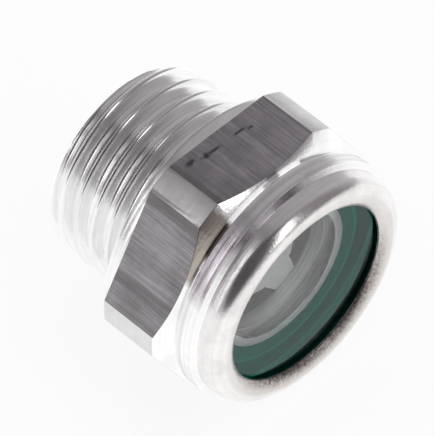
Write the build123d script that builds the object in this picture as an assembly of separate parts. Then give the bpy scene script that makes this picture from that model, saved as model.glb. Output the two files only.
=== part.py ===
from build123d import *
import os
from math import cos, radians, sin, tan

# Oil-level sight glass with a G 1/4 pipe thread, in millimetres.
# It screws into a tank wall, and the oil behind its glass shows against a small reflector.
#
# The body is one turned and milled piece of aluminium. Its thin front wall is rolled in over
# the glass after the seal and the glass have gone in, so nothing comes apart again.
#
# Frame: the origin is the centre of the sealing face. The thread points along +Y and the
# glass looks along -Y. +Z is up, and the plug lies on one flat of its hexagon.
# "Distance" is measured from the sealing face towards the glass.

# ---- driving sizes ---------------------------------------------------------------------------

# clear glass disc, which the rest of the head is built round
glass_diameter = 13.5
glass_thickness = 4.2
glass_edge = 0.15

# rubber seal of C-shaped section that grips the rim of the glass
seal_wall = 0.65
seal_base = 0.5
seal_front = 0.15
seal_front_grip = 0.3

# thin wall of the body, rolled in over the seal and the glass
lip_wall = 0.53
lip_bend_radius = 1.0
lip_past_crown = 51.26
skirt_length = 0.73

# collar behind the thin wall, and the groove behind the collar
collar_step = 0.42
collar_length = 1.18
collar_edge = 0.12
groove_depth = 0.35
groove_width = 0.1

# hexagon, with its corners turned down and its front edge chamfered
flat_step = 0.15
corner_step = 0.85
hexagon_length = 4.05
hexagon_chamfer_angle = 33.0

# round sealing boss behind the hexagon
boss_step = 0.05
boss_height = 0.9

# pipe thread G 1/4, drawn as its plain major cylinder
thread_major_diameter = 13.157
thread_length = 7.45
thread_lead_in = 0.95

# bore, stepped down to the shoulder that the reflector is pressed on to
bore_diameter = 8.9
bore_depth = 1.0
bore_step = 0.05
reflector_shoulder = 0.25
oil_bore_edge = 0.3

# raised land round the bore, inside the base of the seal
land_wall = 0.6
land_below_glass = 0.08
land_to_seal_gap = 0.04

# pressed sheet reflector: an eight-sided plate on raised arms, with a window between two arms
reflector_below_glass = 2.0
reflector_sheet = 0.4
reflector_rib_height = 0.12
reflector_window = 1.27
reflector_arm_width = 2.3
reflector_arm_tip_width = 1.75
reflector_arm_count = 4
reflector_turn = 30.0

# ---- sizes that follow from them -------------------------------------------------------------

# radii of the head, from the glass outwards
glass_radius = glass_diameter / 2
pocket_radius = glass_radius + seal_wall
skirt_radius = pocket_radius + lip_wall
collar_radius = skirt_radius + collar_step
groove_radius = collar_radius - groove_depth
flat_radius = collar_radius + flat_step
corner_radius = flat_radius + corner_step
boss_radius = flat_radius - boss_step
thread_radius = thread_major_diameter / 2

# the rolled lip: an arc outside, and a bevelled corner inside that the seal fills
bend_centre_radius = skirt_radius - lip_bend_radius
lip_corner = lip_bend_radius - lip_wall
opening_radius = bend_centre_radius - lip_bend_radius * sin(radians(lip_past_crown))

# radii of the bores
bore_radius = bore_diameter / 2
land_radius = bore_radius + land_wall
reflector_radius = bore_radius - bore_step
oil_bore_radius = reflector_radius - reflector_shoulder

# distances from the sealing face
hexagon_front = boss_height + hexagon_length
groove_back = hexagon_front + (corner_radius - groove_radius) * tan(radians(hexagon_chamfer_angle))
collar_back = groove_back + groove_width
collar_front = collar_back + collar_length
bend_start = collar_front + skirt_length
lip_underside = bend_start + lip_corner
glass_front = lip_underside - seal_front
glass_back = glass_front - glass_thickness
land_top = glass_back - land_below_glass
pocket_floor = glass_back - seal_base
bore_end = glass_back - bore_depth
reflector_back = glass_back - reflector_below_glass - reflector_rib_height - reflector_sheet


# ---- helpers ---------------------------------------------------------------------------------

def at(distance, radius):
    """A point of a half section, which is drawn beside the Y axis."""
    return (radius, -distance)


def turned(outline):
    """The solid that a closed half section makes round the axis of the plug."""
    return revolve(make_face(outline), Axis.Y)


def on_bend(angle):
    """A point on the outside of the rolled lip, at an angle from the skirt."""
    rise = lip_bend_radius * sin(radians(angle))
    reach = lip_bend_radius * cos(radians(angle))
    return at(bend_start + rise, bend_centre_radius + reach)


# ---- pieces ----------------------------------------------------------------------------------

def body_blank():
    """The turned blank: thread, boss, collar and rolled lip outside, pocket and bores inside."""
    outside = Polyline(
        at(-thread_length, oil_bore_radius + oil_bore_edge),
        at(-thread_length, thread_radius - thread_lead_in),
        at(-thread_length + thread_lead_in, thread_radius),
        at(0, thread_radius),
        at(0, boss_radius),
        at(boss_height, boss_radius),
        at(boss_height, corner_radius),
        at(hexagon_front, corner_radius),
        at(groove_back, groove_radius),
        at(collar_back, groove_radius),
        at(collar_back, collar_radius - collar_edge),
        at(collar_back + collar_edge, collar_radius),
        at(collar_front - collar_edge, collar_radius),
        at(collar_front, collar_radius - collar_edge),
        at(collar_front, skirt_radius),
        at(bend_start, skirt_radius),
    )
    lip_angle = 90 + lip_past_crown
    lip = ThreePointArc(on_bend(0), on_bend(lip_angle / 2), on_bend(lip_angle))
    inside = Polyline(
        on_bend(lip_angle),
        at(lip_underside, opening_radius),
        at(lip_underside, bend_centre_radius),
        at(bend_start, pocket_radius),
        at(pocket_floor, pocket_radius),
        at(pocket_floor, land_radius),
        at(land_top, land_radius),
        at(land_top, bore_radius),
        at(bore_end, bore_radius),
        at(bore_end, reflector_radius),
        at(reflector_back, reflector_radius),
        at(reflector_back, oil_bore_radius),
        at(-thread_length + oil_bore_edge, oil_bore_radius),
        at(-thread_length, oil_bore_radius + oil_bore_edge),
    )
    return turned(outside + lip + inside)


def flats_cutter():
    """What the milling of the six flats takes away, from the boss to the groove."""
    start = Plane.XZ.offset(boss_height)
    waste = Circle(2 * corner_radius) - RegularPolygon(flat_radius, 6, major_radius=False)
    return extrude(start * waste, groove_back - boss_height)


def body():
    """The blank with its six flats."""
    return body_blank() - flats_cutter()


def glass_disc():
    """A plain disc with a fine ground edge on both faces."""
    disc = turned(Polyline(
        at(glass_back, 0),
        at(glass_back, glass_radius),
        at(glass_front, glass_radius),
        at(glass_front, 0),
        at(glass_back, 0),
    ))
    return chamfer(disc.edges().filter_by(GeomType.CIRCLE), glass_edge)


def glass_seal():
    """A ring of C-shaped section: base under the glass, wall round it, thin flange on its rim."""
    front_inner_radius = glass_radius - seal_front_grip
    base_inner_radius = land_radius + land_to_seal_gap
    return turned(Polyline(
        at(lip_underside, bend_centre_radius),
        at(lip_underside, front_inner_radius),
        at(glass_front, front_inner_radius),
        at(glass_front, glass_radius),
        at(glass_back, glass_radius),
        at(glass_back, base_inner_radius),
        at(pocket_floor, base_inner_radius),
        at(pocket_floor, pocket_radius),
        at(bend_start, pocket_radius),
        at(lip_underside, bend_centre_radius),
    ))


def reflector_arm():
    """The flat shape of one arm: straight from the centre to its root, then tapered to its tip."""
    root_radius = reflector_radius - reflector_window
    return make_face(Polyline(
        (0, -reflector_arm_width / 2),
        (root_radius, -reflector_arm_width / 2),
        (reflector_radius, -reflector_arm_tip_width / 2),
        (reflector_radius, reflector_arm_tip_width / 2),
        (root_radius, reflector_arm_width / 2),
        (0, reflector_arm_width / 2),
        (0, -reflector_arm_width / 2),
    ))


def reflector():
    """A sheet pressing whose arms end on the wall and on the shoulder of the bore."""
    seat = Plane.XZ.offset(reflector_back) * Rot(0, 0, reflector_turn)
    arms = Sketch() + PolarLocations(0, reflector_arm_count) * reflector_arm()
    cross = arms & Circle(reflector_radius)
    sides = 2 * reflector_arm_count
    plate = RegularPolygon(reflector_radius - reflector_window, sides, major_radius=False)
    sheet = extrude(seat * plate, reflector_sheet)
    ribs = extrude(seat * cross, reflector_sheet + reflector_rib_height)
    return sheet + ribs


os.makedirs("parts", exist_ok=True)
for make in (body, glass_disc, glass_seal, reflector):
    piece = make()
    piece.label = make.__name__
    export_step(piece, f"parts/{make.__name__}.step")
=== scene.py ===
from math import atan2, cos, degrees, pi, radians, sin, sqrt, tan

import bmesh
import bpy
from mathutils import Matrix, Quaternion, Vector

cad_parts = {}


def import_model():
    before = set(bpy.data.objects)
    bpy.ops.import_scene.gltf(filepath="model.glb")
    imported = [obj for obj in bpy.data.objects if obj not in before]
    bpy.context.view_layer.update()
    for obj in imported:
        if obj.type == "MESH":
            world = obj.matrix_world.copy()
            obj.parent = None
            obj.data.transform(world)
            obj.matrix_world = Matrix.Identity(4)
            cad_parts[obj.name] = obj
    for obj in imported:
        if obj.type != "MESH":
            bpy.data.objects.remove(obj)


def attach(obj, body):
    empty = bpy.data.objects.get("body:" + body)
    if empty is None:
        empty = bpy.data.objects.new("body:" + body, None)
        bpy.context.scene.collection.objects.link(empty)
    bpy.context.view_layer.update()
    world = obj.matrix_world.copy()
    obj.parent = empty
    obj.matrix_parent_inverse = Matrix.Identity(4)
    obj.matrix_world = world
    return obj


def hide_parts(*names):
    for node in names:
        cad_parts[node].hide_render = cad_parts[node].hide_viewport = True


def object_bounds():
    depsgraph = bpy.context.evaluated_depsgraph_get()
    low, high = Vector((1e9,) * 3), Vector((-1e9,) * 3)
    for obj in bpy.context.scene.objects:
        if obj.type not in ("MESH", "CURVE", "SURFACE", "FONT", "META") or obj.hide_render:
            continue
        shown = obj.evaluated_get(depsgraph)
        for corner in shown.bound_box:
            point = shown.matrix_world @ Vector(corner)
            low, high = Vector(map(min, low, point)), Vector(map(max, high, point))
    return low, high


# An oil-level sight glass: an aluminium screw plug with a clear window under a rolled lip.
# The thread points along +Y, the window looks along -Y and +Z is up. Sizes below are in
# millimetres; the objects are in metres. "Distance" runs from the sealing face to the window.

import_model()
cad_low, cad_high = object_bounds()
MM = 0.001

# ---- sizes of the pieces ---------------------------------------------------------------------

# overall sizes, from the bounds of model.glb
CORNER_RADIUS = cad_high.x / MM
FLAT_RADIUS = -cad_low.z / MM
THREAD_LENGTH = cad_high.y / MM

# radii, from the flats of the hexagon inwards
BOSS_RADIUS = FLAT_RADIUS - 0.05
COLLAR_RADIUS = FLAT_RADIUS - 0.15
GROOVE_RADIUS = COLLAR_RADIUS - 0.2
SKIRT_RADIUS = COLLAR_RADIUS - 0.42
SKIRT_FOOT_RADIUS = SKIRT_RADIUS + 0.035
POCKET_RADIUS = SKIRT_RADIUS - 0.53
GLASS_RADIUS = POCKET_RADIUS - 0.65
SEAL_OPENING_RADIUS = GLASS_RADIUS - 0.3
THREAD_RADIUS = 6.5785
LAND_RADIUS = 5.05
SEAL_BASE_RADIUS = LAND_RADIUS + 0.04
BORE_RADIUS = 4.45
REFLECTOR_RADIUS = BORE_RADIUS - 0.05
OIL_BORE_RADIUS = REFLECTOR_RADIUS - 0.25

# distances, from the hexagon to the lip and back down into the bore
BOSS_HEIGHT = 0.9
HEXAGON_FRONT = 4.95
CHAMFER_SLOPE = tan(radians(33))
CONE_END = HEXAGON_FRONT + (CORNER_RADIUS - COLLAR_RADIUS) * CHAMFER_SLOPE
GROOVE_BACK = HEXAGON_FRONT + (CORNER_RADIUS - GROOVE_RADIUS) * CHAMFER_SLOPE
COLLAR_BACK = HEXAGON_FRONT + 0.977
COLLAR_FRONT = COLLAR_BACK + 1.18
STEP_BACK = COLLAR_FRONT - 0.07
STEP_FRONT = COLLAR_FRONT + 0.17
LIP_BEND_START = COLLAR_FRONT + 0.73
LIP_UNDERSIDE = LIP_BEND_START + 0.47
GLASS_FRONT = LIP_UNDERSIDE - 0.15
GLASS_BACK = GLASS_FRONT - 4.2
LAND_TOP = GLASS_BACK - 0.08
POCKET_FLOOR = GLASS_BACK - 0.5
BORE_END = GLASS_BACK - 1.0
REFLECTOR_TOP = GLASS_BACK - 2.0
REFLECTOR_BACK = REFLECTOR_TOP - 0.52

# the lip, rolled in over the glass by more than a quarter turn
LIP_BEND_RADIUS = 1.0
LIP_BEND_CENTRE = SKIRT_RADIUS - LIP_BEND_RADIUS
LIP_ROLL = 141.26
OPENING_RADIUS = 6.15

THREAD_PITCH = 1.337
THREAD_LEAD_IN = 0.95
FLANK_ANGLE = radians(27.5)
# flat rings at the ends of the thread, between its turns and the head or the bore
THREAD_RUN_OUT = 0.6215
END_FACE_RADIUS = 5.3
OIL_BORE_EDGE = 0.3

# the pressed sheet: its thickness, the depth of its windows, the width of its arms, its turn
REFLECTOR_SHEET = 0.4
REFLECTOR_WINDOW = 1.27
ARM_WIDTH, ARM_TIP_WIDTH = 2.3, 1.75
REFLECTOR_TURN = 30

# steps of a full turn
SPIN_STEPS = 288
GLASS_STEPS = 192
THREAD_STEPS = 120


# ---- helpers for the meshes ------------------------------------------------------------------

def turning_lines(back, front, radius, depths_um):
    """Rows of a section that give a cylinder shallow lathe lines, each as deep as listed."""
    step = (front - back) / (2 * len(depths_um))
    rows = []
    for line, depth in enumerate(depths_um):
        rows += [(back + (2 * line + 1) * step, radius - depth * 0.001, 0),
                 (back + (2 * line + 2) * step, radius, 0)]
    return rows[:-1]


def section(bm, rows):
    """Edges of a half section, from rows of (distance, radius, rounding).

    Returns its vertices, and those to round by their rounding."""
    verts, rounded = [], {}
    for distance, radius, rounding in rows:
        vert = bm.verts.new((radius * MM, -distance * MM, 0))
        if verts:
            bm.edges.new((verts[-1], vert))
        verts.append(vert)
        if rounding:
            rounded.setdefault(rounding, []).append(vert)
    return verts, rounded


def round_corners(bm, rounded, segments=3):
    """Rounds the chosen corners of a section."""
    for rounding, verts in rounded.items():
        bmesh.ops.bevel(bm, geom=verts, offset=rounding * MM, offset_type="OFFSET",
                        affect="VERTICES", segments=segments, profile=0.5, material=-1)


def turn(bm, steps=SPIN_STEPS):
    """Turns all the edges of a section round the axis of the plug."""
    bmesh.ops.spin(bm, geom=bm.verts[:] + bm.edges[:], cent=(0, 0, 0), axis=(0, 1, 0),
                   angle=2 * pi, steps=steps, use_merge=True)
    bmesh.ops.remove_doubles(bm, verts=bm.verts, dist=1e-4 * MM)


def finished(bm, name, node, materials, sharp_angle=38):
    """Makes the object of a mesh, smooth but for its sharp edges, in place of a CAD node."""
    bmesh.ops.recalc_face_normals(bm, faces=bm.faces)
    mesh = bpy.data.meshes.new(name)
    bm.to_mesh(mesh)
    bm.free()
    for material in materials:
        mesh.materials.append(material)
    mesh.polygons.foreach_set("use_smooth", [True] * len(mesh.polygons))
    mesh.set_sharp_from_angle(angle=radians(sharp_angle))
    piece = bpy.data.objects.new(name, mesh)
    bpy.context.scene.collection.objects.link(piece)
    weighted = piece.modifiers.new("weighted normals", "WEIGHTED_NORMAL")
    weighted.keep_sharp = True
    weighted.weight = 100
    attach(piece, "root")
    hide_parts(node)


def radius_of(point):
    """How far a point lies from the axis, in millimetres."""
    return sqrt(point.x ** 2 + point.z ** 2) / MM


# ---- helpers for the materials ---------------------------------------------------------------

def node(tree, kind, values=None, **settings):
    """Adds a node. Values are numbers, colours or the sockets to link from, by input name."""
    made = tree.nodes.new(kind)
    for name, value in settings.items():
        setattr(made, name, value)
    for name, value in (values or {}).items():
        socket = made.inputs[name]
        if isinstance(value, bpy.types.NodeSocket):
            tree.links.new(value, socket)
        else:
            socket.default_value = value
    return made


def maths(tree, operation, *values, clamp=False):
    """The result of a sum on numbers or sockets."""
    return node(tree, "ShaderNodeMath", dict(enumerate(values)), operation=operation,
                use_clamp=clamp).outputs[0]


def mixed(tree, factor, a, b, kind="MIX"):
    """A colour between a and b."""
    made = node(tree, "ShaderNodeMix", data_type="RGBA", blend_type=kind)
    for index, value in ((0, factor), (6, a), (7, b)):
        if isinstance(value, bpy.types.NodeSocket):
            tree.links.new(value, made.inputs[index])
        else:
            made.inputs[index].default_value = value
    return made.outputs[2]


def stepped(tree, value, low, high, to_low=0.0, to_high=1.0):
    """Runs from to_low to to_high as the value runs from low to high."""
    return node(tree, "ShaderNodeMapRange",
                {"Value": value, "From Min": low, "From Max": high,
                 "To Min": to_low, "To Max": to_high}).outputs["Result"]


def grey(level, warm=0.0):
    """A grey of that level, or a slightly brown or blue one."""
    return (level * (1 + warm), level, level * (1 - warm * 0.4), 1)


def group(name, inputs, outputs):
    """An empty shader node group with named number inputs and outputs."""
    tree = bpy.data.node_groups.new(name, "ShaderNodeTree")
    for label, value in inputs.items():
        tree.interface.new_socket(label, in_out="INPUT", socket_type="NodeSocketFloat"
                                  ).default_value = value
    for label in outputs:
        tree.interface.new_socket(label, in_out="OUTPUT", socket_type="NodeSocketFloat")
    return tree, tree.nodes.new("NodeGroupInput"), tree.nodes.new("NodeGroupOutput")


def place(tree, made_group, **values):
    """Puts a node group in a material, with its own values."""
    made = tree.nodes.new("ShaderNodeGroup")
    made.node_tree = made_group
    for name, value in values.items():
        made.inputs[name.replace("_", " ")].default_value = value
    return made


def millimetres(tree):
    """The place on the piece, in millimetres."""
    coordinates = node(tree, "ShaderNodeTexCoord").outputs["Object"]
    return node(tree, "ShaderNodeVectorMath", {0: coordinates, 1: (1000, 1000, 1000)},
                operation="MULTIPLY").outputs[0]


def polar(tree, place_on_piece):
    """Radius, distance along the axis and angle of a place."""
    split = node(tree, "ShaderNodeSeparateXYZ", {0: place_on_piece})
    x, y, z = split.outputs
    radius = maths(tree, "SQRT", maths(tree, "ADD", maths(tree, "MULTIPLY", x, x),
                                       maths(tree, "MULTIPLY", z, z)))
    return radius, y, maths(tree, "ARCTAN2", z, x)


def noise(tree, vector, scale, detail=3.0, roughness=0.55):
    return node(tree, "ShaderNodeTexNoise", {"Vector": vector, "Scale": scale, "Detail": detail,
                                             "Roughness": roughness}).outputs["Fac"]


def ring_lines():
    """Fine lines that a lathe tool leaves, nearly the same all round the axis."""
    tree, given, result = group("ring lines", {"Lines per mm": 4.0, "Waver": 0.3, "Contrast": 1.0},
                                ["Height", "Tone"])
    radius, along, angle = polar(tree, millimetres(tree))
    turned_round = node(tree, "ShaderNodeCombineXYZ",
                        {"X": maths(tree, "MULTIPLY", radius, given.outputs["Lines per mm"]),
                         "Y": maths(tree, "MULTIPLY", along, given.outputs["Lines per mm"]),
                         "Z": maths(tree, "MULTIPLY", maths(tree, "ABSOLUTE", angle),
                                    given.outputs["Waver"])}).outputs[0]
    fine = noise(tree, turned_round, 1.0, 4.0, 0.6)
    coarse = noise(tree, turned_round, 0.28, 1.0, 0.5)
    tree.links.new(fine, result.inputs["Height"])
    tone = maths(tree, "ADD", maths(tree, "MULTIPLY", fine, 0.6),
                 maths(tree, "MULTIPLY", coarse, 0.4))
    tone = maths(tree, "MULTIPLY_ADD", maths(tree, "SUBTRACT", tone, 0.5),
                 given.outputs["Contrast"], 0.5, clamp=True)
    tree.links.new(tone, result.inputs["Tone"])
    return tree


def drawn_grain():
    """Long straight lines along the bar, from drawing it through a die."""
    tree, given, result = group("drawn grain", {"Lines per mm": 5.0, "Stretch": 0.03, "Contrast": 1.0},
                                ["Height", "Tone"])
    split = node(tree, "ShaderNodeSeparateXYZ", {0: millimetres(tree)})
    x, y, z = split.outputs
    across = given.outputs["Lines per mm"]
    along = maths(tree, "MULTIPLY", across, given.outputs["Stretch"])
    pulled = node(tree, "ShaderNodeCombineXYZ",
                  {"X": maths(tree, "MULTIPLY", x, across), "Y": maths(tree, "MULTIPLY", y, along),
                   "Z": maths(tree, "MULTIPLY", z, across)}).outputs[0]
    fine = noise(tree, pulled, 1.0, 5.0, 0.72)
    coarse = noise(tree, pulled, 0.2, 2.0, 0.5)
    tree.links.new(fine, result.inputs["Height"])
    tone = maths(tree, "ADD", maths(tree, "MULTIPLY", fine, 0.75),
                 maths(tree, "MULTIPLY", coarse, 0.25))
    tone = maths(tree, "MULTIPLY_ADD", maths(tree, "SUBTRACT", tone, 0.5),
                 given.outputs["Contrast"], 0.5, clamp=True)
    tree.links.new(tone, result.inputs["Tone"])
    return tree


def handling_marks():
    """Soft stains and small dents from handling in the bin with other plugs."""
    tree, given, result = group("handling marks", {"Size": 1.0, "Amount": 0.5}, ["Stain", "Dent"])
    on_piece = millimetres(tree)
    scaled = node(tree, "ShaderNodeVectorMath", {0: on_piece, "Scale": given.outputs["Size"]},
                  operation="SCALE").outputs[0]
    stain = noise(tree, scaled, 0.55, 3.0, 0.6)
    stain = stepped(tree, stain, 0.42, 0.68)
    tree.links.new(maths(tree, "MULTIPLY", stain, given.outputs["Amount"]), result.inputs["Stain"])
    dent = noise(tree, scaled, 2.4, 2.0, 0.5)
    tree.links.new(maths(tree, "MULTIPLY", dent, given.outputs["Amount"]), result.inputs["Dent"])
    return tree


def rolled_wrinkles():
    """Short wrinkles across the lip, and masks for painted shade: one for its inner rim, strongest on
    the lower side, and one for the lower side.
    """
    tree, given, result = group("rolled wrinkles", {"Wrinkles per mm": 3.0},
                                ["Height", "Inner", "Low side"])
    on_piece = millimetres(tree)
    radius, along, _ = polar(tree, on_piece)
    x, _, z = node(tree, "ShaderNodeSeparateXYZ", {0: on_piece}).outputs
    unit_x, unit_z = (maths(tree, "DIVIDE", value, radius) for value in (x, z))
    density = given.outputs["Wrinkles per mm"]
    per_turn = maths(tree, "MULTIPLY", density, 7.0)
    across = maths(tree, "MULTIPLY", maths(tree, "ADD", radius, along),
                   maths(tree, "MULTIPLY", density, 0.35))
    wrapped = node(tree, "ShaderNodeCombineXYZ", {"X": maths(tree, "MULTIPLY", unit_x, per_turn),
                                                  "Y": across,
                                                  "Z": maths(tree, "MULTIPLY", unit_z, per_turn)})
    height = noise(tree, wrapped.outputs[0], 1.0, 3.0, 0.6)
    tree.links.new(height, result.inputs["Height"])
    # mask for painted shade, strongest on the lower side
    low_side = maths(tree, "ADD", maths(tree, "MULTIPLY", unit_x, 0.2),
                     maths(tree, "MULTIPLY", unit_z, -0.98))
    low_side = stepped(tree, low_side, 0.0, 0.75, 0.15, 1.0)
    tree.links.new(low_side, result.inputs["Low side"])
    uneven = maths(tree, "MULTIPLY_ADD", maths(tree, "SUBTRACT", height, 0.5), 0.35, radius)
    inner = maths(tree, "MULTIPLY", stepped(tree, uneven, 6.75, 6.3), low_side)
    tree.links.new(inner, result.inputs["Inner"])
    return tree


ROLLED_WRINKLES = rolled_wrinkles()
RING_LINES = ring_lines()
DRAWN_GRAIN = drawn_grain()
HANDLING_MARKS = handling_marks()


def material(name):
    made = bpy.data.materials.new(name)
    made.use_nodes = True
    tree = made.node_tree
    tree.nodes.clear()
    shader = tree.nodes.new("ShaderNodeBsdfPrincipled")
    output = tree.nodes.new("ShaderNodeOutputMaterial")
    tree.links.new(shader.outputs[0], output.inputs["Surface"])
    return made, tree, shader


def bumped(tree, shader, height, depth_um, normal=None):
    """Gives the shader a relief of that depth, in thousandths of a millimetre."""
    values = {"Strength": 1.0, "Distance": depth_um * 1e-6, "Height": height}
    if normal is not None:
        values["Normal"] = normal
    made = node(tree, "ShaderNodeBump", values).outputs["Normal"]
    tree.links.new(made, shader.inputs["Normal"])
    return made


def on_side(tree, angle, clear, covered):
    """Mask for painted shade: 1 on one side of the piece, so many degrees left of its top, with ragged
    ends.
    """
    on_piece = millimetres(tree)
    radius = polar(tree, on_piece)[0]
    x, _, z = node(tree, "ShaderNodeSeparateXYZ", {0: on_piece}).outputs
    towards = maths(tree, "ADD", maths(tree, "MULTIPLY", x, -sin(radians(angle))),
                    maths(tree, "MULTIPLY", z, cos(radians(angle))))
    ragged = maths(tree, "MULTIPLY_ADD", noise(tree, on_piece, 1.2, 3.0), 0.012, -0.006)
    return stepped(tree, maths(tree, "ADD", maths(tree, "DIVIDE", towards, radius), ragged),
                   cos(radians(clear)), cos(radians(covered)))


def turned_metal(name, dark, bright, roughness, lines, depth_um, waver=0.3, stain=0.3,
                 contrast=2.2, warm=0.0, metallic=1.0, painted_shades=()):
    """Bare aluminium from the lathe; painted shade, multiplied into its colour, darkens the sides that
    are listed with their shade colour.
    """
    made, tree, shader = material(name)
    shader.inputs["Metallic"].default_value = metallic
    rings = place(tree, RING_LINES, Lines_per_mm=lines, Waver=waver, Contrast=contrast)
    marks = place(tree, HANDLING_MARKS, Size=1.0, Amount=stain)
    colour = mixed(tree, rings.outputs["Tone"], grey(dark, warm), grey(bright, warm))
    colour = mixed(tree, marks.outputs["Stain"], colour, grey(dark * 0.8, warm + 0.02))
    # painted shade: each listed side multiplies its shade colour into the metal's colour
    for shade, *side in painted_shades:
        colour = mixed(tree, on_side(tree, *side), colour, shade, "MULTIPLY")
    tree.links.new(colour, shader.inputs["Base Color"])
    rough = stepped(tree, rings.outputs["Tone"], 0, 1, roughness * 1.25, roughness * 0.8)
    rough = maths(tree, "ADD", rough, maths(tree, "MULTIPLY", marks.outputs["Stain"], 0.08))
    tree.links.new(rough, shader.inputs["Roughness"])
    relief = bumped(tree, shader, rings.outputs["Height"], depth_um)
    bumped(tree, shader, marks.outputs["Dent"], 30, relief)
    return made


def band(tree, coordinate, centre, half_width):
    """1 inside a band, 0 outside it, with soft edges."""
    away = maths(tree, "ABSOLUTE", maths(tree, "SUBTRACT", coordinate, centre))
    return stepped(tree, away, half_width + 0.1, half_width - 0.1)


def die_bands(tree):
    """Darker bands along the bar, where the die rubbed it: on two of the flats."""
    x, _, z = node(tree, "ShaderNodeSeparateXYZ", {0: millimetres(tree)}).outputs
    across = maths(tree, "ADD", maths(tree, "MULTIPLY", x, 0.5), maths(tree, "MULTIPLY", z, 0.866))
    on_top = stepped(tree, z, 8.3, 8.4)
    on_left = stepped(tree, x, -4.9, -5.0)
    top = maths(tree, "ADD", band(tree, x, -3.75, 0.25), band(tree, x, 3.85, 0.12))
    left = maths(tree, "ADD", band(tree, across, 3.5, 0.38), band(tree, across, -1.95, 0.42))
    return maths(tree, "ADD", maths(tree, "MULTIPLY", top, on_top),
                 maths(tree, "MULTIPLY", left, on_left), clamp=True)


# pits and scrapes on the top flat: place (x, y), half length, half width, turn in degrees
NICKS = ((-2.82, -1.58, 0.34, 0.20, 8),
         (-1.25, -1.86, 0.72, 0.11, -4),
         (-1.75, -1.86, 0.30, 0.20, 0),
         (0.9, -1.90, 0.45, 0.10, -3),
         (1.62, -2.12, 0.22, 0.09, 0))


def nicks(tree):
    """Small dark pits and scrapes on the top flat, near the boss."""
    on_piece = millimetres(tree)
    ragged = noise(tree, on_piece, 4.0, 3.0, 0.7)
    marked = 0.0
    for x, y, long, wide, turn in NICKS:
        away = node(tree, "ShaderNodeMapping", {"Vector": on_piece, "Location": (x, y, FLAT_RADIUS),
                                                "Rotation": (0, 0, radians(turn)),
                                                "Scale": (long, wide, 4.0)}, vector_type="TEXTURE")
        size = node(tree, "ShaderNodeVectorMath", {0: away.outputs[0]}, operation="LENGTH")
        near = maths(tree, "ADD", size.outputs["Value"], maths(tree, "MULTIPLY", ragged, 2.4))
        marked = maths(tree, "MAXIMUM", marked, stepped(tree, near, 2.5, 1.7, 0.0, 0.75))
    return marked


def drawn_metal(name):
    """The six flats: the darker skin of the drawn bar, with its long lines, and painted light: the top
    flat lighter, the others darker.
    """
    made, tree, shader = material(name)
    shader.inputs["Metallic"].default_value = 1.0
    grain = place(tree, DRAWN_GRAIN, Lines_per_mm=11.0, Stretch=0.025, Contrast=3.4)
    marks = place(tree, HANDLING_MARKS, Size=0.8, Amount=0.7)
    colour = mixed(tree, grain.outputs["Tone"], grey(0.24, 0.03), grey(0.52, 0.02))
    colour = mixed(tree, marks.outputs["Stain"], colour, grey(0.24, 0.03))
    colour = mixed(tree, maths(tree, "MULTIPLY", die_bands(tree), 0.6), colour, grey(0.17, 0.03))
    colour = mixed(tree, nicks(tree), colour, grey(0.03, 0.03))
    # painted light: the top flat's colour is multiplied by about 1.2, the other flats' by about 0.9
    z = node(tree, "ShaderNodeSeparateXYZ", {0: millimetres(tree)}).outputs["Z"]
    shade = mixed(tree, stepped(tree, z, FLAT_RADIUS - 0.25, FLAT_RADIUS - 0.05),
                  (0.91, 0.90, 0.94, 1), (1.19, 1.18, 1.23, 1))
    colour = mixed(tree, 1.0, colour, shade, "MULTIPLY")
    tree.links.new(colour, shader.inputs["Base Color"])
    rough = stepped(tree, grain.outputs["Tone"], 0, 1, 0.5, 0.36)
    tree.links.new(rough, shader.inputs["Roughness"])
    relief = bumped(tree, shader, grain.outputs["Height"], 6)
    bumped(tree, shader, marks.outputs["Dent"], 40, relief)
    return made


def rolled_metal(name):
    """The lip: satin, wrinkled where the rolling tool pressed it over, with painted shade: a
    brown-grey inner crown and a dark brown inner rim, both strongest on the lower side.
    """
    made, tree, shader = material(name)
    shader.inputs["Metallic"].default_value = 1.0
    rings = place(tree, RING_LINES, Lines_per_mm=4.0, Waver=1.2, Contrast=2.6)
    marks = place(tree, HANDLING_MARKS, Size=1.3, Amount=0.5)
    wrinkles = place(tree, ROLLED_WRINKLES, Wrinkles_per_mm=9.0)
    colour = mixed(tree, rings.outputs["Tone"], grey(0.76, 0.02), grey(0.92, 0.01))
    colour = mixed(tree, marks.outputs["Stain"], colour, grey(0.66, 0.03))
    pits = noise(tree, millimetres(tree), 7.0, 3.0, 0.6)
    rough_skin = maths(tree, "ADD", maths(tree, "MULTIPLY", wrinkles.outputs["Height"], 0.25),
                       maths(tree, "MULTIPLY", pits, 0.75))
    radius = polar(tree, millimetres(tree))[0]
    # painted shade: the inner part of the crown is mixed towards brown-grey, more on the lower side
    painted_crown_shade = maths(tree, "MULTIPLY", stepped(tree, radius, 7.2, 6.85),
                 stepped(tree, wrinkles.outputs["Low side"], 0, 1, 0.35, 0.85))
    colour = mixed(tree, painted_crown_shade, colour, (0.60, 0.565, 0.53, 1))
    # painted shade: the inner rim turns dark brown, strongest on the lower side, broken up by the
    # pitted skin
    rim = maths(tree, "MULTIPLY", wrinkles.outputs["Inner"],
                stepped(tree, rough_skin, 0.60, 0.40, 0.35, 1.0))
    colour = mixed(tree, rim, colour, (0.13, 0.105, 0.10, 1))
    tree.links.new(colour, shader.inputs["Base Color"])
    rough = stepped(tree, rings.outputs["Tone"], 0, 1, 0.26, 0.19)
    tree.links.new(maths(tree, "MULTIPLY_ADD", rim, 0.15, rough), shader.inputs["Roughness"])
    relief = bumped(tree, shader, rings.outputs["Height"], 7)
    skin = maths(tree, "MULTIPLY", rough_skin, stepped(tree, radius, 7.8, 7.35, 0.0, 1.0))
    relief = bumped(tree, shader, skin, 22, relief)
    bumped(tree, shader, marks.outputs["Dent"], 12, relief)
    return made


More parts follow.
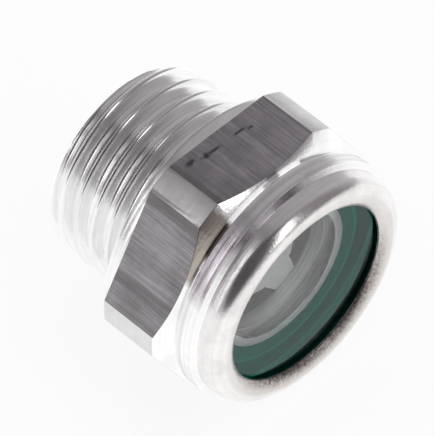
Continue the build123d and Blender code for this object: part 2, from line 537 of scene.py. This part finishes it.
def rubber(name, level=1.0, wet=False):
    """Dark green moulded rubber. Its level scales the colour, which gives lighter and darker copies
    for painted light.
    """
    made, tree, shader = material(name)
    shader.inputs["Specular IOR Level"].default_value = 0.0 if wet else 0.25
    grain = noise(tree, millimetres(tree), 3.0, 4.0, 0.6)
    colour = mixed(tree, grain, (0.01 * level, 0.275 * level, 0.215 * level, 1),
                   (0.01 * level, 0.31 * level, 0.24 * level, 1))
    tree.links.new(colour, shader.inputs["Base Color"])
    tree.links.new(stepped(tree, grain, 0.3, 0.7, 0.5, 0.36), shader.inputs["Roughness"])
    bumped(tree, shader, grain, 12)
    return made


def reflector_sheet(name):
    """Pale, matt pressed sheet."""
    made, tree, shader = material(name)
    shader.inputs["Metallic"].default_value = 0.0
    marks = place(tree, HANDLING_MARKS, Size=1.6, Amount=0.5)
    fine = noise(tree, millimetres(tree), 6.0, 3.0, 0.6)
    colour = mixed(tree, fine, (0.90, 0.90, 0.93, 1), (0.97, 0.97, 0.99, 1))
    colour = mixed(tree, marks.outputs["Stain"], colour, (0.82, 0.82, 0.79, 1))
    tree.links.new(colour, shader.inputs["Base Color"])
    tree.links.new(stepped(tree, fine, 0.3, 0.7, 0.5, 0.36), shader.inputs["Roughness"])
    bumped(tree, shader, fine, 10)
    return made


def clear_glass(name, tint=1.0):
    """Clear glass; a low tint takes most of the mirror image off its surface."""
    made, tree, shader = material(name)
    shader.inputs["Base Color"].default_value = (0.97, 0.985, 0.98, 1)
    shader.inputs["Transmission Weight"].default_value = 1.0
    shader.inputs["Roughness"].default_value = 0.0
    shader.inputs["IOR"].default_value = 1.5
    shader.inputs["Specular Tint"].default_value = (tint, tint, tint, 1)
    return made


# ---- camera, floor and light -----------------------------------------------------------------

VIEW_AZIMUTH, VIEW_ELEVATION = -45, 50
CAMERA_DISTANCE, LENS = 350.7, 485
# where the camera aims, to the right of and above the centre of the sealing face
AIM_RIGHT, AIM_UP = 0.6925, -0.125

azimuth, elevation = radians(VIEW_AZIMUTH), radians(VIEW_ELEVATION)
back = Vector((sin(azimuth) * cos(elevation), -cos(azimuth) * cos(elevation), sin(elevation)))
right = Vector((cos(azimuth), sin(azimuth), 0))
target = AIM_RIGHT * right + AIM_UP * back.cross(right)

camera = bpy.data.objects.new("camera", bpy.data.cameras.new("camera"))
bpy.context.scene.collection.objects.link(camera)
bpy.context.scene.camera = camera
camera.data.lens = LENS
camera.data.sensor_width = 36
camera.data.clip_start, camera.data.clip_end = 0.01, 5
camera.rotation_mode = "QUATERNION"
camera.location = (target + back * CAMERA_DISTANCE) * MM
camera.rotation_quaternion = (-back).to_track_quat("-Z", "Y")


def floor_material():
    """White paper, which also shows white in metal and glass and keeps the plug's shadow."""
    made, tree, shader = material("white paper")
    shader.inputs["Roughness"].default_value = 1.0
    shader.inputs["Specular IOR Level"].default_value = 0.0
    on_floor = millimetres(tree)
    fibre = noise(tree, on_floor, 0.8, 3.0, 0.6)
    tree.links.new(mixed(tree, fibre, grey(0.88), grey(0.9)), shader.inputs["Base Color"])
    path = node(tree, "ShaderNodeLightPath")
    seen = maths(tree, "MAXIMUM", path.outputs["Is Camera Ray"],
                 maths(tree, "MAXIMUM", path.outputs["Is Glossy Ray"],
                       path.outputs["Is Transmission Ray"]))
    in_polish = maths(tree, "MULTIPLY", path.outputs["Is Singular Ray"], path.outputs["Is Glossy Ray"])
    level = maths(tree, "MULTIPLY_ADD", in_polish, -0.3,
                  maths(tree, "MULTIPLY_ADD", path.outputs["Is Glossy Ray"], 0.1, 1.0))
    white = node(tree, "ShaderNodeEmission", {"Color": (1, 1, 1, 1), "Strength": level})
    both = node(tree, "ShaderNodeMixShader", {0: maths(tree, "MULTIPLY", seen, 0.9)})
    tree.links.new(shader.outputs[0], both.inputs[1])
    tree.links.new(white.outputs[0], both.inputs[2])
    output = next(n for n in tree.nodes if n.type == "OUTPUT_MATERIAL")
    tree.links.new(both.outputs[0], output.inputs["Surface"])
    return made


FLOOR_SIZE, FLOOR_GAP = 0.6, 0.00002


def floor():
    """The table that the plug lies on."""
    bm = bmesh.new()
    bmesh.ops.create_grid(bm, x_segments=4, y_segments=4, size=FLOOR_SIZE)
    bmesh.ops.translate(bm, verts=bm.verts, vec=(0, 0, cad_low.z - FLOOR_GAP))
    mesh = bpy.data.meshes.new("floor")
    bm.to_mesh(mesh)
    bm.free()
    mesh.materials.append(floor_material())
    made = bpy.data.objects.new("floor", mesh)
    bpy.context.scene.collection.objects.link(made)


floor()

# a black flag that hangs over the left of the camera: where, and the cosines of its soft edge
FLAG_DIRECTION, FLAG_EDGE = (-0.62, -0.42, 0.66), (0.72, 0.82)
FLAG_SHADE = (0.09, 0.08, 0.088, 1)
FRONT_SHADE = (0.245, 0.224, 0.236, 1)
FAR_BACK_SHADE = (0.22, 0.20, 0.21, 1)
# brightness of the room, by height
SKY = ((0.0, 0.98), (0.03, 0.62), (0.08, 0.48), (0.30, 0.44), (0.60, 0.43), (1.0, 0.36))
# half the brightness of the wall behind the plug, by its share of the quarter turn from straight
# up to the left
LEFT_WALL = ((0.0, 0.5), (0.08, 0.42), (0.12, 0.30), (0.19, 0.30), (0.24, 0.50), (0.30, 0.64),
             (0.37, 0.62), (0.40, 0.28), (0.46, 0.28), (0.49, 0.50), (0.80, 0.46), (1.0, 0.46))


def levels(tree, value, stops):
    """A nearly grey colour that follows a list of (value, brightness)."""
    ramp = node(tree, "ShaderNodeValToRGB", {"Fac": value})
    while len(ramp.color_ramp.elements) < len(stops):
        ramp.color_ramp.elements.new(1.0)
    for element, (place_in_ramp, level) in zip(ramp.color_ramp.elements, stops):
        element.position = place_in_ramp
        element.color = (level, level * (0.97 + 0.025 * level), level * 0.995, 1)
    return ramp.outputs["Color"]


def world():
    """A studio room: white at the horizon and grey above, with a striped wall behind the plug,
    darker in front and far back, and a black flag. The camera itself sees plain white."""
    made = bpy.data.worlds.new("studio")
    bpy.context.scene.world = made
    made.use_nodes = True
    tree = made.node_tree
    tree.nodes.clear()
    direction = node(tree, "ShaderNodeTexCoord").outputs["Generated"]
    x, y, z = node(tree, "ShaderNodeSeparateXYZ", {0: direction}).outputs
    sky = levels(tree, z, SKY)
    turn_left = maths(tree, "ARCTAN2", maths(tree, "MULTIPLY", x, -1.0), z)
    turn_left = maths(tree, "DIVIDE", turn_left, pi / 2)
    wall = mixed(tree, 1.0, sky, levels(tree, turn_left, LEFT_WALL), "MULTIPLY")
    wall = mixed(tree, 1.0, wall, wall, "ADD")
    sky = mixed(tree, stepped(tree, y, 0.0, 0.2), sky, wall)
    far_back = maths(tree, "MULTIPLY", stepped(tree, y, 0.52, 0.62), stepped(tree, z, 0.12, 0.24))
    sky = mixed(tree, far_back, sky, FAR_BACK_SHADE)
    in_front = stepped(tree, y, -0.05, -0.4)
    above = stepped(tree, z, 0.02, 0.12)
    flagged = maths(tree, "MULTIPLY", in_front, above)
    sky = mixed(tree, flagged, sky, FRONT_SHADE)
    towards_flag = node(tree, "ShaderNodeVectorMath",
                        {0: direction, 1: Vector(FLAG_DIRECTION).normalized()},
                        operation="DOT_PRODUCT").outputs["Value"]
    sky = mixed(tree, stepped(tree, towards_flag, *FLAG_EDGE), sky, FLAG_SHADE)
    path = node(tree, "ShaderNodeLightPath")
    room = node(tree, "ShaderNodeBackground", {"Color": sky, "Strength": 1.0})
    white = node(tree, "ShaderNodeBackground", {"Color": (1, 1, 1, 1), "Strength": 1.0})
    both = node(tree, "ShaderNodeMixShader", {0: path.outputs["Is Camera Ray"]})
    tree.links.new(room.outputs[0], both.inputs[1])
    tree.links.new(white.outputs[0], both.inputs[2])
    tree.links.new(both.outputs[0], node(tree, "ShaderNodeOutputWorld").inputs["Surface"])


world()


def softbox(name, direction, half_angles, radiance, distance=0.3, lean=0, diffuse_only=False):
    """A rectangular lamp of that brightness, as wide and high as the half angles say."""
    lamp = bpy.data.lights.new(name, "AREA")
    lamp.shape = "RECTANGLE"
    lamp.size, lamp.size_y = (2 * distance * tan(radians(a)) for a in half_angles)
    lamp.energy = radiance * pi * lamp.size * lamp.size_y
    made = bpy.data.objects.new(name, lamp)
    bpy.context.scene.collection.objects.link(made)
    towards = Vector(direction).normalized()
    made.location = towards * distance
    made.rotation_mode = "QUATERNION"
    made.rotation_quaternion = (towards.to_track_quat("Z", "Y")
                                @ Quaternion((0, 0, 1), radians(lean)))
    if diffuse_only:
        made.visible_glossy = False


softbox("left softbox", (-0.73, 0.46, 0.51), (8, 12), 0.22)
softbox("left strip light", (-0.80, 0.367, 0.48), (3.3, 27), 1.75, lean=12)
softbox("front softbox", (0.11, -0.80, 0.60), (7, 24), 1.9)
softbox("overhead fill", (0.1, -0.1, 1.0), (40, 40), 1.2, diffuse_only=True)

bpy.context.scene.view_settings.view_transform = "Standard"


# ---- body ------------------------------------------------------------------------------------

# finishes of the body, in the order of its materials
TURNED, FLATS, LIP, THREAD, BORE, COLLAR, OIL_BORE, LAND, CORNER, GROOVE, CONE, STEP = range(12)


def head(bm):
    """Everything but the thread: the head outside, the pocket and bores inside, the end face."""
    outside, rounded = section(bm, [
        (0, THREAD_RADIUS + THREAD_RUN_OUT, 0),
        (0, BOSS_RADIUS, 0.12),
        *turning_lines(0.14, BOSS_HEIGHT - 0.05, BOSS_RADIUS, (12, 18, 8, 15)),
        (BOSS_HEIGHT, BOSS_RADIUS, 0),
        (BOSS_HEIGHT, CORNER_RADIUS, 0),
        (HEXAGON_FRONT, CORNER_RADIUS, 0),
        (CONE_END, COLLAR_RADIUS, 0),
        (GROOVE_BACK, GROOVE_RADIUS, 0.03),
        (COLLAR_BACK, GROOVE_RADIUS, 0.03),
        (COLLAR_BACK, COLLAR_RADIUS, 0.05),
        *turning_lines(COLLAR_BACK + 0.06, COLLAR_FRONT - 0.06, COLLAR_RADIUS,
                       (12, 20, 8, 16, 22, 10)),
        (STEP_BACK, COLLAR_RADIUS, 0.01),
        (STEP_FRONT, SKIRT_FOOT_RADIUS, 0.01),
        (LIP_BEND_START, SKIRT_RADIUS, 0),
    ])
    bend_centre = Vector((LIP_BEND_CENTRE, -LIP_BEND_START, 0)) * MM
    rolled = bmesh.ops.spin(bm, geom=[outside[-1]], cent=bend_centre, axis=(0, 0, 1),
                            angle=-radians(LIP_ROLL), steps=24)
    lip_end = next(v for v in rolled["geom_last"] if isinstance(v, bmesh.types.BMVert))
    inside, rounded_inside = section(bm, [
        (LIP_UNDERSIDE, OPENING_RADIUS, 0.04),
        (LIP_UNDERSIDE, LIP_BEND_CENTRE, 0),
        (LIP_BEND_START, POCKET_RADIUS, 0),
        (POCKET_FLOOR, POCKET_RADIUS, 0),
        (POCKET_FLOOR, LAND_RADIUS, 0),
        (LAND_TOP, LAND_RADIUS, 0.03),
        (LAND_TOP, BORE_RADIUS, 0.06),
        (BORE_END, BORE_RADIUS, 0),
        (BORE_END, REFLECTOR_RADIUS, 0),
        (REFLECTOR_TOP, REFLECTOR_RADIUS, 0),
        (REFLECTOR_BACK, REFLECTOR_RADIUS, 0),
        (REFLECTOR_BACK, OIL_BORE_RADIUS, 0.04),
        (OIL_BORE_EDGE - THREAD_LENGTH, OIL_BORE_RADIUS, 0),
        (-THREAD_LENGTH, OIL_BORE_RADIUS + OIL_BORE_EDGE, 0.05),
        (-THREAD_LENGTH, END_FACE_RADIUS, 0),
    ])
    bm.edges.new((lip_end, inside[0]))
    for rounding, verts in rounded_inside.items():
        rounded.setdefault(rounding, []).extend(verts)
    rounded.setdefault(0.04, []).append(lip_end)
    round_corners(bm, rounded)
    turn(bm)


def mill_flats(bm):
    """Cuts the six flats of the hexagon and breaks their edges."""
    flats = []
    for side in range(6):
        angle = radians(90 + 60 * side)
        outwards = Vector((cos(angle), 0, sin(angle)))
        cut = bmesh.ops.bisect_plane(bm, geom=bm.verts[:] + bm.edges[:] + bm.faces[:],
                                     dist=1e-4 * MM, plane_co=outwards * FLAT_RADIUS * MM,
                                     plane_no=outwards, clear_outer=True)
        edges = [e for e in cut["geom_cut"] if isinstance(e, bmesh.types.BMEdge)]
        flats += bmesh.ops.contextual_create(bm, geom=edges)["faces"]
    for flat in flats:
        flat.material_index = FLATS
    outline = []
    for edge in bm.edges:
        middle = (edge.verts[0].co + edge.verts[1].co) / 2
        on_hexagon = BOSS_HEIGHT - 0.01 < -middle.y / MM < GROOVE_BACK - 0.1
        if on_hexagon and radius_of(middle) > FLAT_RADIUS - 0.03 and edge.calc_face_angle(0) > 0.2:
            outline.append(edge)
    bmesh.ops.bevel(bm, geom=outline, offset=0.035 * MM, offset_type="OFFSET",
                    affect="EDGES", segments=2, profile=0.5, material=-1, clamp_overlap=True)


def thread():
    """A right-handed pipe thread with rounded crests and a flat root, cut square at both ends."""
    bm = bmesh.new()
    # the usual shares of the pitch: depth, height cut off the sharp crest, radius of the crest
    half_depth = 0.6403 * THREAD_PITCH / 2
    cut_off = 0.1600 * THREAD_PITCH
    crest_radius = 0.1373 * THREAD_PITCH
    root_depth = 0.27
    middle = THREAD_RADIUS - half_depth
    flank = root_depth * tan(FLANK_ANGLE) / THREAD_PITCH
    start = -2.42 * THREAD_PITCH
    verts = [bm.verts.new((r * MM, (start + y * THREAD_PITCH) * MM, 0)) for y, r in (
        (0.0, middle),
        (0.25, middle + half_depth + cut_off),
        (0.5 + flank, middle - root_depth),
        (1.0 - flank, middle - root_depth),
        (1.0, middle),
    )]
    for a, b in zip(verts, verts[1:]):
        bm.edges.new((a, b))
    for rounded, tangent in ((verts[1:2], crest_radius / tan(FLANK_ANGLE)),
                             (verts[2:3], 0.12), (verts[3:4], 0.02)):
        bmesh.ops.bevel(bm, geom=rounded, offset=tangent * MM, offset_type="OFFSET",
                        affect="VERTICES", segments=6, profile=0.5, material=-1)
    flanks = [e for e in bm.edges if e.calc_length() > 0.08 * MM]
    bmesh.ops.subdivide_edges(bm, edges=flanks, cuts=2)
    turns = int((THREAD_LENGTH - 2 * start) / THREAD_PITCH) + 1
    bmesh.ops.spin(bm, geom=bm.verts[:] + bm.edges[:], cent=(0, 0, 0), axis=(0, 1, 0),
                   dvec=(0, THREAD_PITCH * MM / THREAD_STEPS, 0), angle=2 * pi * turns,
                   steps=THREAD_STEPS * turns)
    bmesh.ops.remove_doubles(bm, verts=bm.verts, dist=1e-3 * MM)
    for end, outwards in ((0, -1), (THREAD_LENGTH, 1)):
        bmesh.ops.bisect_plane(bm, geom=bm.verts[:] + bm.edges[:] + bm.faces[:], dist=1e-4 * MM,
                               plane_co=(0, end * MM, 0), plane_no=(0, outwards, 0),
                               clear_outer=True)
    for vert in bm.verts:
        limit = THREAD_RADIUS - THREAD_LEAD_IN + THREAD_LENGTH - vert.co.y / MM
        radius = radius_of(vert.co)
        if radius > limit:
            vert.co.x *= limit / radius
            vert.co.z *= limit / radius
    for face in bm.faces:
        face.material_index = THREAD
    bmesh.ops.recalc_face_normals(bm, faces=bm.faces)
    mesh = bpy.data.meshes.new("thread")
    bm.to_mesh(mesh)
    bm.free()
    return mesh


def choose_finishes(bm):
    """Gives each face of the head its finish, from where it lies. The flats have theirs."""
    for face in bm.faces:
        if face.material_index == FLATS:
            continue
        middle = face.calc_center_median()
        radius, distance = radius_of(middle), -middle.y / MM
        left_of_top = degrees(atan2(-middle.x, middle.z))
        if distance > STEP_FRONT - 0.005 and radius < SKIRT_FOOT_RADIUS + 0.005:
            face.material_index = LIP
        if STEP_BACK < distance < STEP_FRONT - 0.005 and radius > SKIRT_RADIUS:
            face.material_index = STEP
        if BOSS_HEIGHT + 0.02 < distance < HEXAGON_FRONT - 0.02 and radius > FLAT_RADIUS:
            face.material_index = CORNER
        if COLLAR_BACK - 0.01 < distance < STEP_BACK and radius > POCKET_RADIUS + 0.1:
            face.material_index = COLLAR
        # painted highlight: on the upper left the groove faces take a white matt material in place of
        # the metal's reflection; elsewhere they stay cone or turned metal
        if HEXAGON_FRONT < distance < GROOVE_BACK and radius > GROOVE_RADIUS:
            face.material_index = GROOVE if distance > CONE_END and -15 < left_of_top < 27 else CONE
        if GROOVE_BACK < distance < COLLAR_BACK + 0.03 and radius > SKIRT_RADIUS:
            face.material_index = GROOVE if -15 < left_of_top < 50 else TURNED
        if radius < POCKET_RADIUS + 0.01 and distance < LIP_UNDERSIDE - 0.2:
            face.material_index = BORE if distance > -THREAD_LENGTH + 0.05 else TURNED
        # painted shade: the bore below the top of the reflector takes a nearly black material for the
        # shade down the hole
        if -THREAD_LENGTH + 0.05 < distance < REFLECTOR_TOP and radius < REFLECTOR_RADIUS + 0.01:
            face.material_index = OIL_BORE
        if LAND_TOP - 0.004 < distance < LAND_TOP + 0.01 and radius < LAND_RADIUS:
            face.material_index = LAND
        if 0 <= distance < 0.01 and radius > THREAD_RADIUS:
            face.material_index = TURNED


def body():
    """The plug: its head, with the turns of the thread joined on by flat rings."""
    bm = bmesh.new()
    head(bm)
    mill_flats(bm)
    choose_finishes(bm)
    bmesh.ops.recalc_face_normals(bm, faces=bm.faces)
    turns = thread()
    bm.from_mesh(turns)
    bpy.data.meshes.remove(turns)
    for end in (0, THREAD_LENGTH):
        rims = [e for e in bm.edges
                if e.is_boundary and all(abs(v.co.y / MM - end) < 1e-3 for v in e.verts)]
        bmesh.ops.triangle_fill(bm, edges=rims, normal=(0, 1, 0), use_beauty=True)
    finished(bm, "plug_body", "body", [
        turned_metal("turned aluminium", 0.80, 0.97, 0.20, 3.5, 9),
        drawn_metal("drawn aluminium skin with painted light on top"),
        rolled_metal("rolled aluminium lip with painted shade"),
        turned_metal("threaded aluminium", 0.80, 0.99, 0.17, 4.0, 10, stain=0.15, contrast=2.6),
        turned_metal("bored aluminium", 0.52, 1.0, 0.22, 5.0, 60, contrast=5.0, metallic=0.5),
        # painted shade on the collar: full within 12 degrees of 44 degrees left of the top, gone by 21
        turned_metal("turned aluminium collar with painted shade", 0.70, 1.0, 0.19, 4.5, 18, contrast=5.0,
                     painted_shades=[((0.60, 0.56, 0.60, 1), 44, 21, 12)]),
        # painted shade: nearly black
        turned_metal("drilled aluminium in painted shade", 0.03, 0.07, 0.6, 3.5, 12, metallic=0.2),
        turned_metal("matt aluminium land", 0.90, 1.0, 0.6, 3.5, 8, warm=-0.04, metallic=0.1),
        turned_metal("turned aluminium corners", 0.66, 0.78, 0.31, 3.0, 9, contrast=1.5),
        # painted highlight and shade: white and matt, with a near-black patch around 36 degrees and a
        # dark wedge at the top
        turned_metal("aluminium groove with painted highlight and shade", 0.98, 1.0, 0.8, 3.5, 6, metallic=0.0,
                     painted_shades=[((0.10, 0.08, 0.07, 1), 36, 10, 7), ((0.4, 0.38, 0.4, 1), 1, 5, 3)]),
        # painted shade: brown-grey around 42 degrees left of the top, and a dark wedge at the top
        turned_metal("turned aluminium cone with painted shade", 0.92, 1.0, 0.2, 3.5, 6,
                     painted_shades=[((0.47, 0.435, 0.39, 1), 42, 17, 14), ((0.4, 0.38, 0.4, 1), 1, 5, 3)]),
        # painted shade: darker around 15 degrees left of the top
        turned_metal("aluminium step with painted shade", 0.9, 1.0, 0.25, 3.5, 6,
                     painted_shades=[((0.30, 0.28, 0.30, 1), 15, 22, 14)]),
    ])


# ---- glass, seal and reflector ---------------------------------------------------------------

# finishes of the glass: clear, or wetted by the rubber behind it; the rim and the slope carry painted
# shade, the edge a painted highlight
CLEAR, CLEAR_FRONT, WETTED_RIM, WETTED_BASE, WETTED_EDGE, WETTED_SLOPE = range(6)


def glass_disc():
    """The window. A film of air lies round it, but it shows the rubber that wets its rim and base.

    ground is the width of the slope at its rear, and ring that of the edge inside it. The rubber on
    the rim and the slope is painted darker as shade, and on the edge brighter as a highlight."""
    bm = bmesh.new()
    gap, wetted, ground, ring, front_edge = 0.02, 2.0, 0.60, 0.26, 0.15
    rim, rear, front = GLASS_RADIUS - gap, GLASS_BACK + gap, GLASS_FRONT - gap
    section(bm, [
        (rear, 0, 0),
        (rear, SEAL_BASE_RADIUS, 0),
        (rear, rim - ground - ring, 0),
        (rear, rim - ground, 0),
        (rear + ground, rim, 0),
        (front - wetted, rim, 0),
        (front - front_edge, rim, 0),
        (front, rim - front_edge, 0),
        (front, 0, 0),
    ])
    turn(bm, GLASS_STEPS)
    for face in bm.faces:
        middle = face.calc_center_median()
        distance = -middle.y / MM
        if distance > front - 0.001:
            face.material_index = CLEAR_FRONT
        elif distance > front - wetted:
            face.material_index = WETTED_RIM
        elif distance < rear + ground and radius_of(middle) > LAND_RADIUS:
            inside = rim - ground - radius_of(middle)
            if inside > ring:
                face.material_index = WETTED_BASE
            else:
                face.material_index = WETTED_EDGE if inside > 0 else WETTED_SLOPE
        else:
            face.material_index = CLEAR
    finished(bm, "window_glass", "glass_disc", [
        clear_glass("clear glass"),
        clear_glass("clear glass front", 0.12),
        # painted light: the same rubber at levels 0.15, 1.45 and 0.75, as shade on the rim, a
        # highlight on the edge and shade on the slope
        rubber("wetted rubber in shade", 0.15, wet=True),
        rubber("wetted rubber", 1.0, wet=True),
        rubber("wetted rubber edge in painted highlight", 1.45, wet=True),
        rubber("wetted rubber slope in painted shade", 0.75, wet=True),
    ])


def glass_seal():
    """A rubber ring of C-shaped section that grips the rim of the glass."""
    bm = bmesh.new()
    verts, rounded = section(bm, [
        (LIP_UNDERSIDE, LIP_BEND_CENTRE, 0),
        (LIP_UNDERSIDE, SEAL_OPENING_RADIUS, 0.04),
        (GLASS_FRONT, SEAL_OPENING_RADIUS, 0.04),
        (GLASS_FRONT, GLASS_RADIUS, 0),
        (GLASS_BACK, GLASS_RADIUS, 0),
        (GLASS_BACK, SEAL_BASE_RADIUS, 0.04),
        (POCKET_FLOOR, SEAL_BASE_RADIUS, 0.04),
        (POCKET_FLOOR, POCKET_RADIUS, 0.04),
        (LIP_BEND_START, POCKET_RADIUS, 0.04),
    ])
    bm.edges.new((verts[-1], verts[0]))
    round_corners(bm, rounded)
    turn(bm, GLASS_STEPS)
    finished(bm, "window_seal", "glass_seal", [rubber("green rubber")])


def reflector():
    """A pressed sheet: a cross of raised arms on an eight-sided plate, open between the arms."""
    bm = bmesh.new()
    plate = REFLECTOR_RADIUS - REFLECTOR_WINDOW
    half, tip = ARM_WIDTH / 2, ARM_TIP_WIDTH / 2
    corner = plate * tan(pi / 8)
    sheet_top = REFLECTOR_BACK + REFLECTOR_SHEET

    def flat(points):
        return bm.faces.new([bm.verts.new((u * MM, -sheet_top * MM, v * MM)) for u, v in points])

    rib_faces = [
        flat([(0, 0), (half, -half), (half, half)]),
        flat([(half, -half), (plate, -half), (plate, half), (half, half)]),
        flat([(plate, -half), (REFLECTOR_RADIUS, -tip), (REFLECTOR_RADIUS, tip), (plate, half)]),
    ]
    flat([(half, half), (plate, half), (plate, corner), (corner, plate), (half, plate)])
    for face in rib_faces:
        face.material_index = 1
    bmesh.ops.spin(bm, geom=bm.verts[:] + bm.edges[:] + bm.faces[:], cent=(0, 0, 0),
                   axis=(0, 1, 0), angle=1.5 * pi, steps=3, use_duplicate=True)
    bmesh.ops.remove_doubles(bm, verts=bm.verts, dist=1e-3 * MM)
    bmesh.ops.recalc_face_normals(bm, faces=bm.faces)
    if bm.faces[0].normal.y > 0:
        bmesh.ops.reverse_faces(bm, faces=bm.faces)
    raised = [f for f in bm.faces if f.material_index == 1]
    lifted = bmesh.ops.extrude_face_region(bm, geom=raised)
    bmesh.ops.delete(bm, geom=raised, context="FACES")
    bmesh.ops.translate(bm, vec=(0, -(REFLECTOR_TOP - sheet_top) * MM, 0),
                        verts=[v for v in lifted["geom"] if isinstance(v, bmesh.types.BMVert)])
    rims = [e for e in bm.edges if e.is_boundary]
    down = bmesh.ops.extrude_edge_only(bm, edges=rims)
    for vert in down["geom"]:
        if isinstance(vert, bmesh.types.BMVert):
            vert.co.y = -REFLECTOR_BACK * MM
    bmesh.ops.remove_doubles(bm, verts=bm.verts, dist=1e-3 * MM)
    bottom = [e for e in bm.edges if e.is_boundary]
    bmesh.ops.contextual_create(bm, geom=bottom)
    for face in bm.faces:
        face.material_index = 0
    bmesh.ops.rotate(bm, verts=bm.verts, cent=(0, 0, 0),
                     matrix=Matrix.Rotation(-radians(REFLECTOR_TURN), 3, "Y"))
    finished(bm, "oil_reflector", "reflector", [reflector_sheet("pressed reflector sheet")])


body()
glass_disc()
glass_seal()
reflector()
